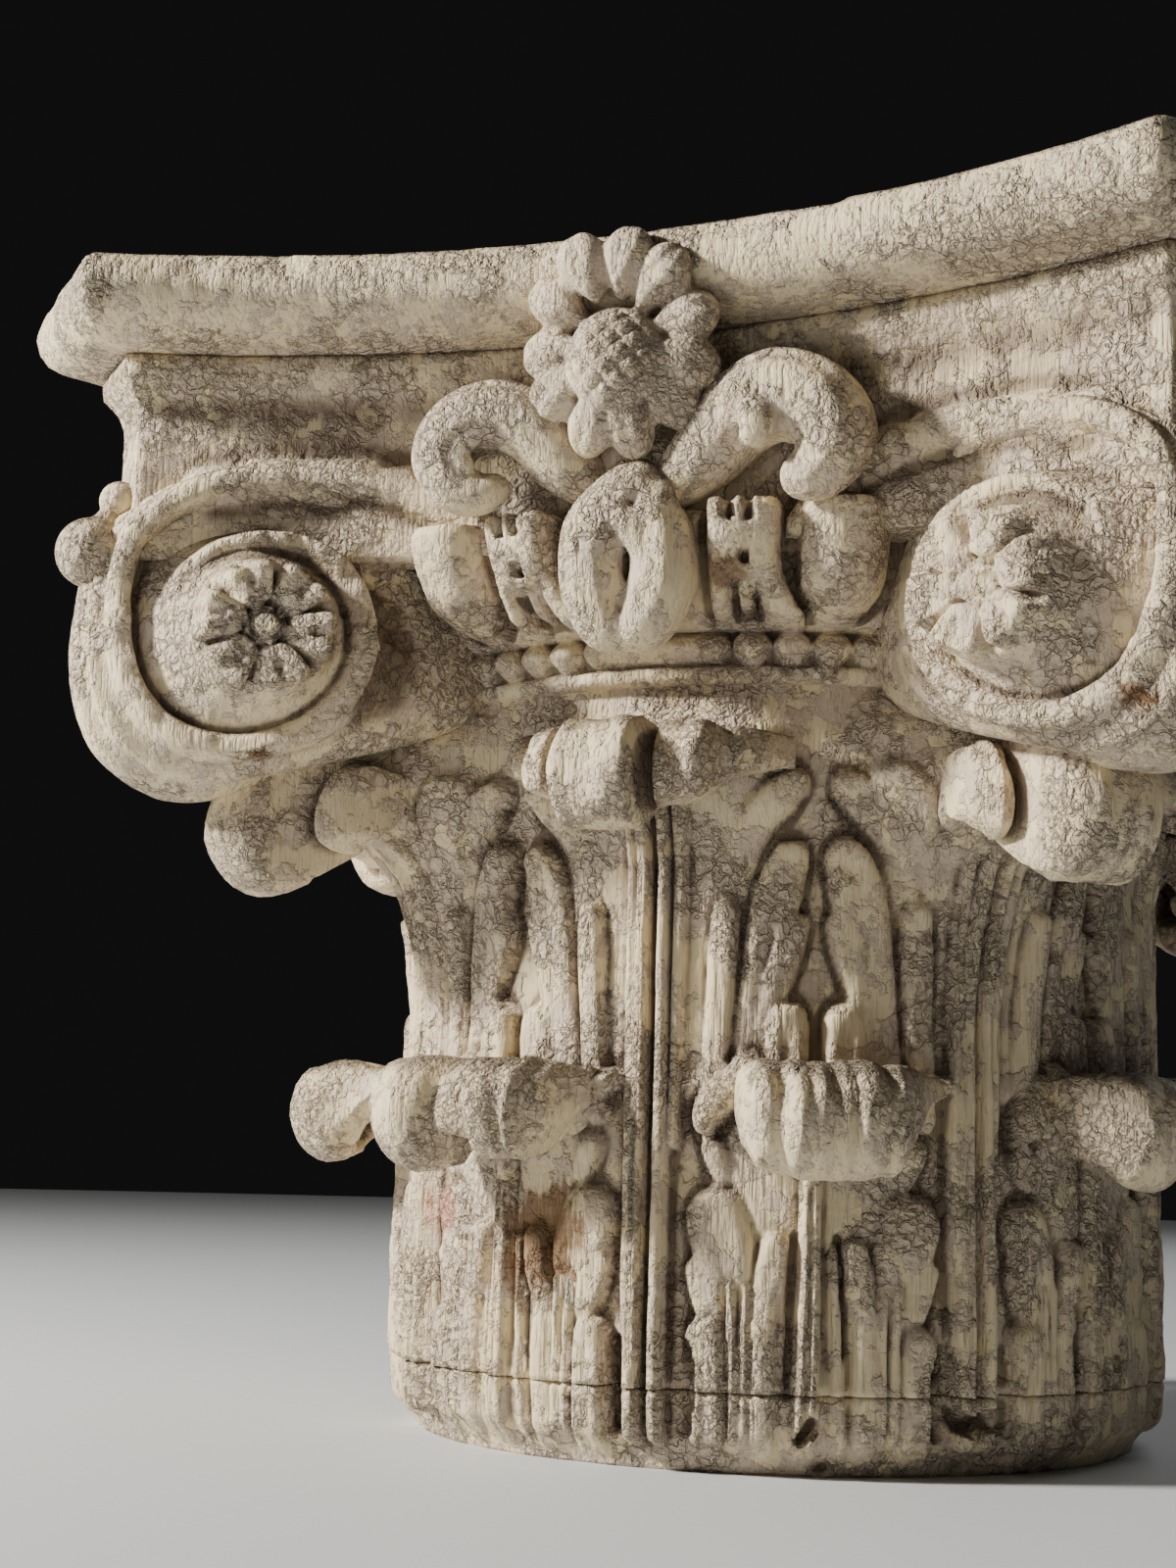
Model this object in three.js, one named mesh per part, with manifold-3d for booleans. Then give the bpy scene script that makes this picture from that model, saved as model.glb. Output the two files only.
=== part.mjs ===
// A carved wooden capital of the Composite order: a bell with two rows of acanthus leaves, a band of
// beads and reels, an egg-and-dart echinus, four corner volutes and a concave-sided abacus with a
// flower at the middle of each side.
// Millimetres, +Z up. The origin is the middle of the underside and the front face looks along -Y.
import * as THREE from 'three';
import { mergeVertices } from 'three/addons/utils/BufferGeometryUtils.js';
import Module from 'manifold-3d';

// ---------------------------------------------------------------- driving dimensions
const HEIGHT = 369;                 // underside to the top of the abacus
const NECK_RADIUS = 130;            // bell at the seam above the base board
const FOOT_RADIUS = 125;            // underside of the base board
const BASE_SEAM_Z = 24;             // joint between base board and carved block
const ABACUS_SEAM_Z = 342;          // joint between carved block and abacus board
const SEAM_GAP = 0.3;               // open joint between neighbouring pieces
const NECKING_Z = 237;              // lower edge of the fillets that end the bell
const BEAD_Z = 247;                 // middle of the bead-and-reel band
const BEAD_RING_RADIUS = 134;
const BEAD_RADIUS = 5.8;
const ECHINUS_TOP_Z = 284;
const ECHINUS_TOP_RADIUS = 156;
const EGG_DEGREES = 23.5;           // from the middle of a side
const DART_DEGREES = 12.6;

const SIDE_MID = 152;               // centre line to the middle of a side, at the abacus seam
const HORN_REACH = 247.6;           // centre line to the cut end of a horn, at the abacus seam
const HORN_HALF_WIDTH = 16.5;       // half the cut end of a horn, at the abacus seam
const BOARD_OVERHANG = 24;          // how far the round edge of the board stands out at most
const BOARD_TOP_OVERHANG = 20.5;    // and at its top edge
const HORN_OVERHANG_SHARE = 0.84;   // the cut end of a horn stands out a little less
const FASCIA_INSET = 8;             // plain fascia behind the fillet
const FASCIA_FOOT_Z = 276;

const VOLUTE_REACH = 205;           // centre line to the eye of a volute, on the diagonal
const VOLUTE_Z = 253;
const VOLUTE_RADIUS = 52;
const VOLUTE_RIM_WIDTH = 9;
const SCROLL_SEGMENTS = 12;
const SPIRAL_STEP = 6;              // how far the channel winds inward in one turn
const SCROLL_LIFT = 40;             // parts the two faces while they are turned
const CHANNEL_DEPTH = 9;            // spiral channel below the rim
const EYE_RADIUS = 24;
const EYE_RISE = 12;                // eye boss above the rim
const ROSETTE_RADIUS = 18;
const ROSETTE_RISE = 5;

const BELL_SEGMENTS = 24;
const LEAF_RELIEF = 6;              // leaves above the bell
const LEAVES_A_ROW = 8;
const RIB_FOOT_Z = 6;               // where the feet of the leaves die away on the base board
const FLOWER_Z = 332;
const FLOWER_PETALS = 10;
const FLOWER_HALF_WIDTH = 29;
const FLOWER_HALF_HEIGHT = 34;
const PETAL_VALLEY = 0.26;
const PETAL_DEPTH = 13;
const BUTTON_RADIUS = 17;
const FLOWER_REACH = 181;           // centre line to the front of the flower's button
const BODY_COLOUR = 0xcfc3a6;
const FLOWER_COLOUR = 0xc4b699;

const wasm = await Module();
wasm.setup();

// ---------------------------------------------------------------- small helpers
const radians = THREE.MathUtils.degToRad;
const lerp = THREE.MathUtils.lerp;

// A closed geometry as a solid, turned right side out if its shaping mirrored it.
function solid(geometry) {
  const bare = geometry.index ? geometry.toNonIndexed() : geometry.clone();
  bare.deleteAttribute('normal');
  bare.deleteAttribute('uv');
  const merged = mergeVertices(bare, 1e-3);
  const triVerts = new Uint32Array(merged.index.array);
  if (signedVolume(merged) < 0) triVerts.reverse();
  const vertProperties = new Float32Array(merged.attributes.position.array);
  return new wasm.Manifold(new wasm.Mesh({ numProp: 3, vertProperties, triVerts }));
}

function signedVolume(geometry) {
  const position = geometry.attributes.position;
  const corner = [new THREE.Vector3(), new THREE.Vector3(), new THREE.Vector3()];
  let volume = 0;
  for (let i = 0; i < geometry.index.count; i += 3) {
    corner.forEach((point, k) => point.fromBufferAttribute(position, geometry.index.getX(i + k)));
    volume += corner[0].dot(corner[1].cross(corner[2])) / 6;
  }
  return volume;
}

function geometryOf(manifold) {
  const mesh = manifold.getMesh();
  const geometry = new THREE.BufferGeometry();
  geometry.setAttribute('position', new THREE.BufferAttribute(new Float32Array(mesh.vertProperties), 3));
  geometry.setIndex(new THREE.BufferAttribute(new Uint32Array(mesh.triVerts), 1));
  const faceted = geometry.toNonIndexed();
  faceted.computeVertexNormals();
  return faceted;
}

function joined(solids) {
  return solids.reduce((whole, piece) => whole.add(piece));
}

// Moves every vertex of a geometry to place(x, y, z).
function reshaped(geometry, place) {
  const position = geometry.attributes.position;
  for (let i = 0; i < position.count; i += 1) {
    const moved = place(position.getX(i), position.getY(i), position.getZ(i));
    position.setXYZ(i, moved.x, moved.y, moved.z);
  }
  return geometry;
}

// A point at an angle from the front face (positive to the right), a distance out and a height.
function around(degrees, out, z) {
  const angle = radians(degrees);
  return new THREE.Vector3(out * Math.sin(angle), -out * Math.cos(angle), z);
}

// A point beside the vertical plane that stands at an angle: along = tangential distance.
function beside(degrees, along, out, z) {
  const angle = radians(degrees);
  const x = out * Math.sin(angle) + along * Math.cos(angle);
  const y = -out * Math.cos(angle) + along * Math.sin(angle);
  return new THREE.Vector3(x, y, z);
}

function extruded(points, depth, steps = 1) {
  const shape = new THREE.Shape(points);
  return new THREE.ExtrudeGeometry(shape, { depth, steps, bevelEnabled: false, curveSegments: 4 });
}

// A turned solid about the vertical axis, from an outline of [radius, height] that ends on the axis.
function turned(outline, segments) {
  const points = outline.map(([radius, z]) => new THREE.Vector2(radius, z));
  return solid(new THREE.LatheGeometry(points, segments).rotateX(Math.PI / 2));
}

// ---------------------------------------------------------------- bell
const bellOutline = [
  [NECK_RADIUS, BASE_SEAM_Z], [NECK_RADIUS - 3, 120], [NECK_RADIUS - 2, 225], [NECK_RADIUS - 1, NECKING_Z],
];

function bellRadius(z) {
  const above = bellOutline.findIndex(([, height]) => height > z);
  if (above === 0) return lerp(FOOT_RADIUS, NECK_RADIUS, z / BASE_SEAM_Z);
  if (above < 0) return bellOutline.at(-1)[0];
  const [lowRadius, lowZ] = bellOutline[above - 1];
  const [highRadius, highZ] = bellOutline[above];
  return lerp(lowRadius, highRadius, (z - lowZ) / (highZ - lowZ));
}

function bell() {
  const foot = [[0, BASE_SEAM_Z + SEAM_GAP / 2], [NECK_RADIUS, BASE_SEAM_Z + SEAM_GAP / 2]];
  const necking = [
    [NECK_RADIUS + 4, NECKING_Z + 1], [NECK_RADIUS + 4, NECKING_Z + 4],
    [BEAD_RING_RADIUS + BEAD_RADIUS, BEAD_Z - 2], [BEAD_RING_RADIUS + BEAD_RADIUS, BEAD_Z + 2],
    [BEAD_RING_RADIUS + 3, BEAD_Z + BEAD_RADIUS],
  ];
  const echinus = [[BEAD_RING_RADIUS + 14, BEAD_Z + 16], [ECHINUS_TOP_RADIUS, ECHINUS_TOP_Z]];
  const lid = [[0, ECHINUS_TOP_Z]];
  return turned([...foot, ...bellOutline.slice(1), ...necking, ...echinus, ...lid], BELL_SEGMENTS);
}

// ---------------------------------------------------------------- abacus
// Outline of the abacus, grown outward by a distance: four concave arcs and four cut horns.
const ARC_POINTS = 7;

function abacusOutline(growth) {
  const cornerX = (HORN_REACH - HORN_HALF_WIDTH) / Math.SQRT2;
  const cornerY = (HORN_REACH + HORN_HALF_WIDTH) / Math.SQRT2;
  const sag = cornerY - SIDE_MID;
  const arcRadius = (cornerX * cornerX + sag * sag) / (2 * sag);
  const arcCentre = SIDE_MID + arcRadius;
  const hornReach = HORN_REACH + growth * HORN_OVERHANG_SHARE;
  const grownRadius = arcRadius - growth;
  // Where the grown arc meets the grown end of the horn: x + y = hornReach * sqrt(2).
  const sum = hornReach * Math.SQRT2 - arcCentre;
  const endX = (sum + Math.sqrt(2 * grownRadius * grownRadius - sum * sum)) / 2;
  const endAngle = Math.asin(endX / grownRadius);
  const points = [];
  for (let side = 0; side < 4; side += 1) {
    for (let step = 0; step < ARC_POINTS; step += 1) {
      const angle = lerp(-endAngle, endAngle, step / (ARC_POINTS - 1));
      const x = grownRadius * Math.sin(angle);
      const out = arcCentre - grownRadius * Math.cos(angle);
      const place = beside(side * 90, x, out, 0);
      points.push(new THREE.Vector2(place.x, place.y));
    }
  }
  return points;
}

// A solid of the abacus outline whose growth changes with height, from [growth, z] levels.
function abacusSolid(levels, clearance = 0) {
  const outlines = levels.map(([growth]) => abacusOutline(growth + clearance));
  const geometry = extruded(outlines[0], levels.length - 1, levels.length - 1);
  const indexOf = (x, y) => outlines[0].findIndex((p) => Math.hypot(p.x - x, p.y - y) < 1e-3);
  reshaped(geometry, (x, y, z) => {
    const level = Math.round(z);
    const point = outlines[level][indexOf(x, y)];
    return new THREE.Vector3(point.x, point.y, levels[level][1]);
  });
  return solid(geometry);
}

const fasciaLevels = [
  [-FASCIA_INSET, FASCIA_FOOT_Z], [-FASCIA_INSET, 322], [-FASCIA_INSET * 0.7, 329],
  [-1, 334.5], [0, 335], [0, ABACUS_SEAM_Z - SEAM_GAP / 2],
];

const boardLevels = [
  [0, ABACUS_SEAM_Z + SEAM_GAP / 2], [BOARD_OVERHANG * 0.62, 345.5], [BOARD_OVERHANG * 0.9, 350.5],
  [BOARD_OVERHANG, 357], [BOARD_OVERHANG * 0.97, 363], [BOARD_TOP_OVERHANG, HEIGHT],
];

// ---------------------------------------------------------------- leaves
// Half outlines of a leaf as [angle from its middle, height], bottom to top; the other half mirrors it.
const LEAF_FOOT_Z = BASE_SEAM_Z + SEAM_GAP / 2;
const lowerLeaf = [
  [15.5, LEAF_FOOT_Z], [16.5, 43], [11.5, 48], [17, 80], [12, 88], [15, 113],
];
const upperLeaf = [
  [17, 114], [20.5, 141], [15.5, 146], [21.5, 191], [15, 197], [17, 219],
];
const upperStem = [[2.5, LEAF_FOOT_Z], [4, 200]];

// A leaf laid on the bell: its outline is wrapped round and stands out from the ground.
function leafSlab(middle, half, relief) {
  const right = half.map(([degrees, z]) => new THREE.Vector2(degrees, z));
  const left = half.map(([degrees, z]) => new THREE.Vector2(-degrees, z)).reverse();
  const geometry = extruded([...right, ...left], 1, 1);
  reshaped(geometry, (degrees, z, depth) => {
    const out = bellRadius(z) + lerp(-14, relief, depth);
    return around(middle + degrees, out, z);
  });
  return solid(geometry);
}

// The rolled-over tip of a leaf: a hooked profile of [out, z] carried across the leaf, falling back
// towards the bell and closing at both ends.
function leafCurl(middle, profile, halfWidth, droop, steps) {
  const points = profile.map(([out, z]) => new THREE.Vector2(out, z));
  const geometry = extruded(points, 2, steps);
  const rootZ = profile[0][1];
  reshaped(geometry, (out, z, across) => {
    const share = across - 1;
    const round = Math.sqrt(1 - 0.72 * share * share);
    const reach = lerp(NECK_RADIUS - 14, out, out > NECK_RADIUS ? round : 1);
    const height = rootZ + (z - rootZ) * lerp(0.55, 1, round) - droop * share * share;
    return beside(middle, share * halfWidth, reach, height);
  });
  return solid(geometry);
}

// Hooked profile between a root on the bell and a rounded tip, as arcs of points.
function hook(rootLow, rootHigh, tipOut, tipZ, tipRadius) {
  const points = [[NECK_RADIUS - 14, rootLow], [NECK_RADIUS + 4, rootLow]];
  for (let step = 0; step <= 3; step += 1) {
    const angle = radians(lerp(-130, 90, step / 3));
    points.push([tipOut - tipRadius + tipRadius * Math.cos(angle), tipZ + tipRadius * Math.sin(angle)]);
  }
  points.push([NECK_RADIUS + 6, rootHigh], [NECK_RADIUS - 14, rootHigh]);
  return points;
}

function leaves() {
  const solids = [];
  const pitch = 360 / LEAVES_A_ROW;
  for (let leaf = 0; leaf < LEAVES_A_ROW; leaf += 1) {
    const lower = pitch * (leaf + 0.5);
    const upper = pitch * leaf;
    const onCorner = leaf % 2 === 1;
    solids.push(leafSlab(lower, lowerLeaf, LEAF_RELIEF));
    solids.push(leafSlab(upper, upperLeaf, LEAF_RELIEF));
    solids.push(leafSlab(upper, upperStem, LEAF_RELIEF + 4));
    solids.push(leafCurl(lower, hook(86, 114, 170, 104, 13), 33, 4, 3));
    if (onCorner) {
      solids.push(leafCurl(upper, hook(182, 224, 207, 191, 17), 27, 3, 3));
    } else {
      solids.push(leafCurl(upper, hook(196, 226, 170, 210, 14), 46, 10, 3));
    }
  }
  return solids;
}

// ---------------------------------------------------------------- echinus
function egg(middle) {
  const geometry = new THREE.SphereGeometry(1, 6, 4);
  reshaped(geometry, (x, y, z) => beside(middle, x * 13, 151 + z * 13, 266 + y * 19));
  return solid(geometry);
}

function dart(middle) {
  const outline = [[-9, 284], [-9, 262], [-3, 250], [3, 250], [9, 262], [9, 284]];
  const points = outline.map(([x, z]) => new THREE.Vector2(x, z));
  const geometry = extruded(points, 1);
  reshaped(geometry, (x, z, depth) => beside(middle, -x, lerp(140, 152 + (z - 250) * 0.33, depth), z));
  return solid(geometry);
}

function husk(middle) {
  const half = [[4, 244], [17, 256], [20, 268], [14, 283], [8, 296]];
  const right = half.map(([x, z]) => new THREE.Vector2(-x, z));
  const left = half.map(([x, z]) => new THREE.Vector2(x, z)).reverse();
  const geometry = extruded([...right, ...left], 1);
  reshaped(geometry, (x, z, depth) => {
    const face = 170 - Math.abs(z - 266) * 0.12;
    return beside(middle, -x, lerp(135, face, depth), z);
  });
  return solid(geometry);
}

// The curls that spring from under a flower to both sides.
function sideCurl(middle, side) {
  const geometry = new THREE.SphereGeometry(1, 6, 4);
  reshaped(geometry, (x, y, z) => {
    const bend = 8 * x * x;
    return beside(middle, side * (44 + x * 21), 153 + z * 17 - bend, 305 + y * 17 - bend);
  });
  return solid(geometry);
}

function echinusCarving() {
  const solids = [];
  for (let side = 0; side < 4; side += 1) {
    const middle = side * 90;
    solids.push(husk(middle));
    for (const way of [-1, 1]) {
      solids.push(dart(middle + way * DART_DEGREES));
      solids.push(egg(middle + way * EGG_DEGREES));
      solids.push(sideCurl(middle, way));
    }
  }
  return solids;
}

// ---------------------------------------------------------------- volutes
// Half thickness of a scroll at a distance out along the diagonal: it follows the curved side.
function scrollHalf(out) {
  return HORN_HALF_WIDTH + (HORN_REACH - out) * 0.42;
}

// Face of a scroll as [radius, height above the rim plane], from the eye outward.
const scrollFace = [
  [0, EYE_RISE + ROSETTE_RISE], [ROSETTE_RADIUS, EYE_RISE + ROSETTE_RISE], [EYE_RADIUS, EYE_RISE],
  [EYE_RADIUS + 1, -CHANNEL_DEPTH], [VOLUTE_RADIUS - VOLUTE_RIM_WIDTH, -CHANNEL_DEPTH],
  [VOLUTE_RADIUS - VOLUTE_RIM_WIDTH + 1, 0], [VOLUTE_RADIUS, 0],
];

// A corner scroll: a wheel with both faces turned to the same outline, then spread so that each
// face follows its side of the abacus, with the channel winding inward.
function scroll(diagonal) {
  const half = (turn) => scrollFace.map(([radius, height]) => (
    new THREE.Vector2(radius, turn * (height + SCROLL_LIFT))
  ));
  const geometry = new THREE.LatheGeometry([...half(-1), ...half(1).reverse()], SCROLL_SEGMENTS);
  reshaped(geometry, (x, y, z) => {
    const radius = Math.hypot(x, z);
    const turn = (Math.atan2(z, x) / (2 * Math.PI) + 1) % 1;
    const inChannel = radius > EYE_RADIUS && radius < VOLUTE_RADIUS - 1;
    const wound = inChannel ? (radius - SPIRAL_STEP * (turn - 0.5)) / radius : 1;
    const out = VOLUTE_REACH + x * wound;
    const half = scrollHalf(out) + Math.abs(y) - SCROLL_LIFT;
    return beside(diagonal, Math.sign(y) * half, out, VOLUTE_Z + z * wound);
  });
  return solid(geometry);
}

// A berry that hangs on the outer band of a scroll, below the horn.
function berry(diagonal, along, out, z, radius) {
  const geometry = new THREE.SphereGeometry(radius, 5, 4);
  reshaped(geometry, (x, y, depth) => beside(diagonal, along + x, out + depth, z + y));
  return solid(geometry);
}

function volutes() {
  const solids = [];
  for (const diagonal of [45, 135, 225, 315]) {
    solids.push(scroll(diagonal));
    solids.push(berry(diagonal, -9, 247, 296, 10));
    solids.push(berry(diagonal, 5, 255, 284, 9));
  }
  return solids;
}

// ---------------------------------------------------------------- flowers
// Plump petals round a domed button, cut to sit on the abacus behind them.
function flower(middle) {
  const place = (x, y, depth) => beside(middle, x, FLOWER_REACH + depth, FLOWER_Z + y);
  const button = new THREE.SphereGeometry(1, 7, 4);
  reshaped(button, (x, y, z) => place(x * BUTTON_RADIUS, y * BUTTON_RADIUS, z * 8 - 8));
  const petals = new THREE.SphereGeometry(1, FLOWER_PETALS * 2, 4).rotateX(Math.PI / 2);
  reshaped(petals, (x, y, z) => {
    const petal = Math.cos(FLOWER_PETALS * Math.atan2(y, x));
    const spread = 1 - PETAL_VALLEY * (1 - petal) / 2;
    const lean = 11 * Math.max(y, 0);   // the upper petals lie over the round edge of the board
    const depth = z * PETAL_DEPTH - PETAL_DEPTH + 2 * petal + lean;
    return place(x * FLOWER_HALF_WIDTH * spread, y * FLOWER_HALF_HEIGHT * spread, depth);
  });
  const clear = abacusSolid(fasciaLevels, SEAM_GAP).add(abacusSolid(boardLevels, SEAM_GAP));
  return solid(petals).add(solid(button)).subtract(clear);
}

// ---------------------------------------------------------------- base board
// The feet of the leaves and stems run down over the board and die away towards its underside.
function baseBoard() {
  const topZ = BASE_SEAM_Z - SEAM_GAP / 2;
  const outline = [
    [0, 0], [FOOT_RADIUS, 0], [FOOT_RADIUS + 2, RIB_FOOT_Z], [NECK_RADIUS, topZ], [0, topZ],
  ];
  const points = outline.map(([radius, z]) => new THREE.Vector2(radius, z));
  const geometry = new THREE.LatheGeometry(points, LEAVES_A_ROW * 8).rotateX(Math.PI / 2);
  reshaped(geometry, (x, y, z) => {
    const radius = Math.hypot(x, y);
    const degrees = THREE.MathUtils.radToDeg(Math.atan2(x, -y));
    const rise = LEAF_RELIEF * leafFoot(degrees) * THREE.MathUtils.smoothstep(z, RIB_FOOT_Z, topZ);
    const grown = radius > NECK_RADIUS / 2 ? (radius + rise) / radius : 1;
    return new THREE.Vector3(x * grown, y * grown, z);
  });
  return solid(geometry);
}

// 1 under a leaf or a stem, 0 in the hollows between them.
function leafFoot(degrees) {
  const pitch = 360 / LEAVES_A_ROW;
  const fromStem = Math.abs(((degrees % pitch) + pitch * 1.5) % pitch - pitch / 2);
  return fromStem > 3 && fromStem < 8 ? 0 : 1;
}

// ---------------------------------------------------------------- the whole capital
function named(name, manifold, colour) {
  const material = new THREE.MeshStandardMaterial({ color: colour, roughness: 0.85, metalness: 0 });
  const mesh = new THREE.Mesh(geometryOf(manifold), material);
  mesh.name = name;
  return mesh;
}

const body = joined([bell(), abacusSolid(fasciaLevels), ...leaves(), ...echinusCarving(), ...volutes()]);
const capital = new THREE.Group();
capital.add(named('base_board', baseBoard(), BODY_COLOUR));
capital.add(named('capital_body', body, BODY_COLOUR));
capital.add(named('abacus_board', abacusSolid(boardLevels), BODY_COLOUR));
['front', 'right', 'back', 'left'].forEach((side, turn) => {
  capital.add(named(`flower_${side}`, flower(turn * 90), FLOWER_COLOUR));
});

export default capital;
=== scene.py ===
"""A carved, painted wooden capital of the Composite order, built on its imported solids.

The bell and bands are closed skins whose carving is raised by brush strokes (class Carving); the
rolled leaf tips, scrolls, abacus and flowers are closed skins placed by small functions.
Sizes are in millimetres until a skin is made, which turns them into metres.
"""

import math

import bmesh
import bpy
import numpy as np
from mathutils import Matrix, Vector


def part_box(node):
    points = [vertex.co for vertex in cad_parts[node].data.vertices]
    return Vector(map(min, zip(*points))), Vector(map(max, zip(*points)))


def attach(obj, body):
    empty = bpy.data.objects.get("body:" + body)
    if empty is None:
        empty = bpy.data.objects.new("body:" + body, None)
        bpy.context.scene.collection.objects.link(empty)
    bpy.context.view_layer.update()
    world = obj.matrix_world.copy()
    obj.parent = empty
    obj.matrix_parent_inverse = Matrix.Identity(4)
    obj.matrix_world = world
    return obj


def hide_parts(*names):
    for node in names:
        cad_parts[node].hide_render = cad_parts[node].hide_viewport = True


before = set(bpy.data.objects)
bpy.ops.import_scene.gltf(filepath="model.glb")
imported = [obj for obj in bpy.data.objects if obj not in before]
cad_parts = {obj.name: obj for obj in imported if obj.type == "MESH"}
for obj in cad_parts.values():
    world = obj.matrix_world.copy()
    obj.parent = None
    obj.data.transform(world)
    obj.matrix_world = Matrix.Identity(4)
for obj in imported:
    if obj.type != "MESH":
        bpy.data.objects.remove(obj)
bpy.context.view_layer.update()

# ------------------------------------------------------------------ sizes, millimetres
MM = 0.001


def height_range(node):
    """Lowest and highest point of a CAD node, in millimetres."""
    low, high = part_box(node)
    return low[2] / MM, high[2] / MM


BASE_LOW, BASE_HIGH = height_range("base_board")
BODY_LOW, _ = height_range("capital_body")
_, TOP = height_range("abacus_board")

BELL_RADIUS = 130.0
BELL_TOP = 262.0            # the bell ends here, behind the egg band
BEAD_RADIUS = 134.0
BAND_RADIUS = 150.0
PER_DEGREE = math.pi * BELL_RADIUS / 180
LEAF_PITCH = 45.0
SIDE_MID = 152.0            # centre line to the middle of a side, at the foot of the board
HORN_REACH = 247.6          # centre line to the cut end of a horn, there
HORN_HALF = 16.5            # half the width of that cut end
HORN_SHARE = 0.84           # the cut ends stand out a little less than the long sides
EYE_REACH = 207.0           # centre line to the eye of a scroll
EYE_Z = 251.0
SCROLL_SLOPE = 0.42         # scroll faces follow the curved sides
SCROLL_EDGE = 15.0          # half the scroll's thickness at the reach of a horn
DIAGONALS = (45, 135, 225, 315)
SIDES = (0, 90, 180, 270)

LEAF_BODY = "capital_body"


# ------------------------------------------------------------------ number helpers
def smooth(low, high, value):
    share = np.clip((value - low) / (high - low), 0, 1)
    return share * share * (3 - 2 * share)


def lerp(low, high, share):
    return low + (high - low) * share


def read_off(table, value):
    """The number a table of (mark, number) pairs gives for a value, straight between the marks."""
    return np.interp(value, *np.array(table, float).T)


def along_line(points, share):
    """Points of a polyline, by share of its length; points are pairs."""
    line = np.array(points, float)
    steps = np.hypot(*np.diff(line, axis=0).T)
    marks = np.concatenate([[0], np.cumsum(steps)]) / steps.sum()
    return np.interp(share, marks, line[:, 0]), np.interp(share, marks, line[:, 1])


def curve_through(p0, p1, p2, p3, t):
    """The stretch from p1 to p2 of a smooth curve through four points (Catmull-Rom)."""
    return 0.5 * (2 * p1 + (p2 - p0) * t + (2 * p0 - 5 * p1 + 4 * p2 - p3) * t**2
                  + (3 * p1 - p0 - 3 * p2 + p3) * t**3)


def closed_curve(points, share):
    """A smooth closed curve through pairs of numbers, by share of its points."""
    line = np.array(points, float)
    count = len(line)
    place = np.mod(share, 1.0) * count
    first = np.floor(place).astype(int)
    t = (place - first)[:, None]
    curve = curve_through(*(line[(first + k) % count] for k in (-1, 0, 1, 2)), t)
    return curve[:, 0], curve[:, 1]


def ripple(points, size, seed):
    """A soft unevenness of about -1 to 1 over points in millimetres, with waves of a given size."""
    draw = np.random.default_rng(seed)
    total = np.zeros(len(points))
    for _ in range(7):
        way = draw.normal(size=3)
        way *= draw.uniform(0.6, 1.5) / np.linalg.norm(way)
        total += np.sin(points @ way * (2 * math.pi / size) + draw.uniform(0, 2 * math.pi))
    return total / 3.2


def around(degrees, out, z):
    """Points by angle from the front face, distance from the centre line and height."""
    angle = np.radians(degrees)
    return np.stack([out * np.sin(angle), -out * np.cos(angle), z + 0 * out], axis=-1)


def beside(degrees, along, out, z):
    """Points by angle from the front face, tangential and outward distance, and height."""
    angle = np.radians(degrees)
    x = out * np.sin(angle) + along * np.cos(angle)
    y = -out * np.cos(angle) + along * np.sin(angle)
    return np.stack([x, y, z + 0 * x], axis=-1)


# ------------------------------------------------------------------ making pieces
def piece_from(name, mesh, node, material):
    """Puts a finished mesh in the scene as a piece that stands for a CAD node."""
    piece = bpy.data.objects.new(name, mesh)
    bpy.context.scene.collection.objects.link(piece)
    mesh.shade_smooth()
    mesh.materials.append(material)
    mark_hollows(mesh)
    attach(piece, "root")
    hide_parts(node)


def carved(name, mesh, material):
    """A piece of the painted carving on the block."""
    piece_from(name, mesh, LEAF_BODY, material)


def points_of(mesh):
    """The vertices of a mesh as rows of three numbers, in metres."""
    flat = np.empty(len(mesh.vertices) * 3)
    mesh.vertices.foreach_get("co", flat)
    return flat.reshape(-1, 3)


def skin(name, across, along, place):
    """A mesh made from a flat grid: place(u, v) gives each point, u and v from 0 to 1.

    Edges that meet are joined and open rims are filled, so the skin is closed."""
    bm = bmesh.new()
    bmesh.ops.create_grid(bm, x_segments=across, y_segments=along, size=0.5)
    mesh = bpy.data.meshes.new(name)
    bm.to_mesh(mesh)
    share = points_of(mesh) + 0.5
    points = place(share[:, 0], share[:, 1])
    mesh.vertices.foreach_set("co", (points * MM).ravel())
    bm.clear()
    bm.from_mesh(mesh)
    bmesh.ops.remove_doubles(bm, verts=bm.verts, dist=2e-6)
    bmesh.ops.holes_fill(bm, edges=[edge for edge in bm.edges if edge.is_boundary], sides=0)
    bmesh.ops.recalc_face_normals(bm, faces=bm.faces)
    bm.to_mesh(mesh)
    bm.free()
    return mesh


def fused(name, meshes, voxel, softening=2):
    """Overlapping closed meshes melted into one closed skin, as if carved from one block."""
    bm = bmesh.new()
    for mesh in meshes:
        bm.from_mesh(mesh)
    lump = bpy.data.meshes.new(name + "_lump")
    bm.to_mesh(lump)
    bm.free()
    block = bpy.data.objects.new(name + "_lump", lump)
    bpy.context.scene.collection.objects.link(block)
    remesh = block.modifiers.new("melt", "REMESH")
    remesh.mode = "VOXEL"
    remesh.voxel_size = voxel * MM
    soften = block.modifiers.new("soften", "SMOOTH")
    soften.iterations = softening
    soften.factor = 0.5
    graph = bpy.context.evaluated_depsgraph_get()
    mesh = bpy.data.meshes.new_from_object(block.evaluated_get(graph))
    mesh.name = name
    bpy.data.objects.remove(block)
    return mesh


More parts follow.
